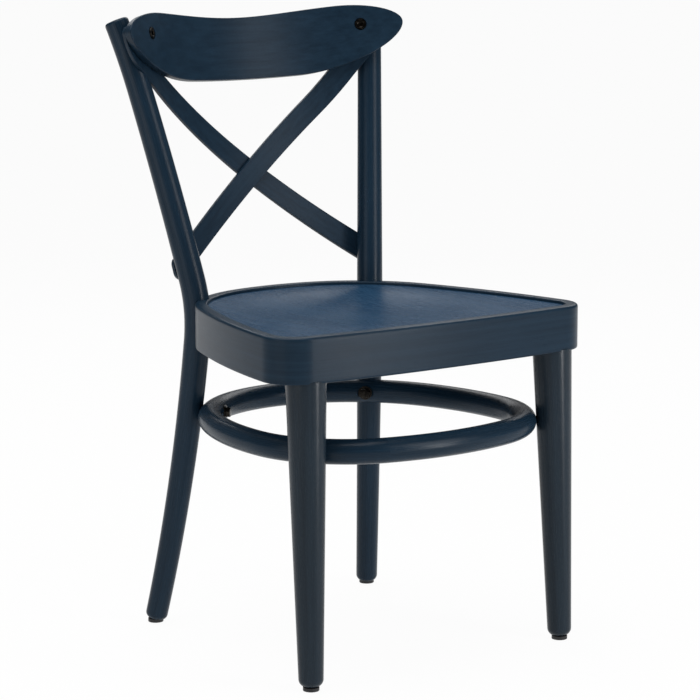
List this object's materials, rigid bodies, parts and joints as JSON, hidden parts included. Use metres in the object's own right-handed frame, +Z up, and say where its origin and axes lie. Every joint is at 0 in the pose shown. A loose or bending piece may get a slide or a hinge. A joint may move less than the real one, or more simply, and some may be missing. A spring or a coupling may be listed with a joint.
{
  "type": "bentwood side chair",
  "caption": "Bentwood side chair with a dished seat, crossed back laths under a curved crest rail, splayed legs and a ring stretcher, stained dark blue",
  "frame": {"origin": "on the floor, at the centre of the chair's bounding box", "axes": "+Z up, -Y the way the sitter faces, +X to the right when looking at the front"},
  "size_m": [0.506, 0.521, 0.8455],
  "materials": {
    "rod_wood": "satin stain",
    "leg_wood": "satin stain",
    "rim_wood": "satin stain",
    "panel_wood": "satin stain",
    "crest_wood": "satin stain",
    "lath_wood": "satin stain",
    "block_wood": "satin stain",
    "black_bolt": "black oxide",
    "plain_steel": "zinc",
    "glide_plastic": "matt"
  },
  "bodies": {
    "root": {"rear_post_left": "rod_wood", "rear_post_right": "rod_wood", "front_leg_left": "leg_wood", "front_leg_right": "leg_wood", "seat_frame": "rim_wood", "seat_panel": "panel_wood", "corner_block_left": "block_wood", "corner_block_right": "block_wood", "stretcher_ring": "rod_wood", "crest_rail": "crest_wood", "cross_lath_front": "lath_wood", "cross_lath_rear": "lath_wood", "crest_bolts": "black_bolt", "ring_bolts": "black_bolt", "ring_washers": "black_bolt", "ring_screws": "black_bolt", "lath_screws": "black_bolt", "seat_bolts": "plain_steel", "seat_washers": "plain_steel", "seat_bolt_inserts": "plain_steel", "corner_block_screws": "plain_steel", "glide_nails": "plain_steel", "glide_front_left": "glide_plastic", "glide_front_right": "glide_plastic", "glide_rear_left": "glide_plastic", "glide_rear_right": "glide_plastic"}
  },
  "joints": []
}
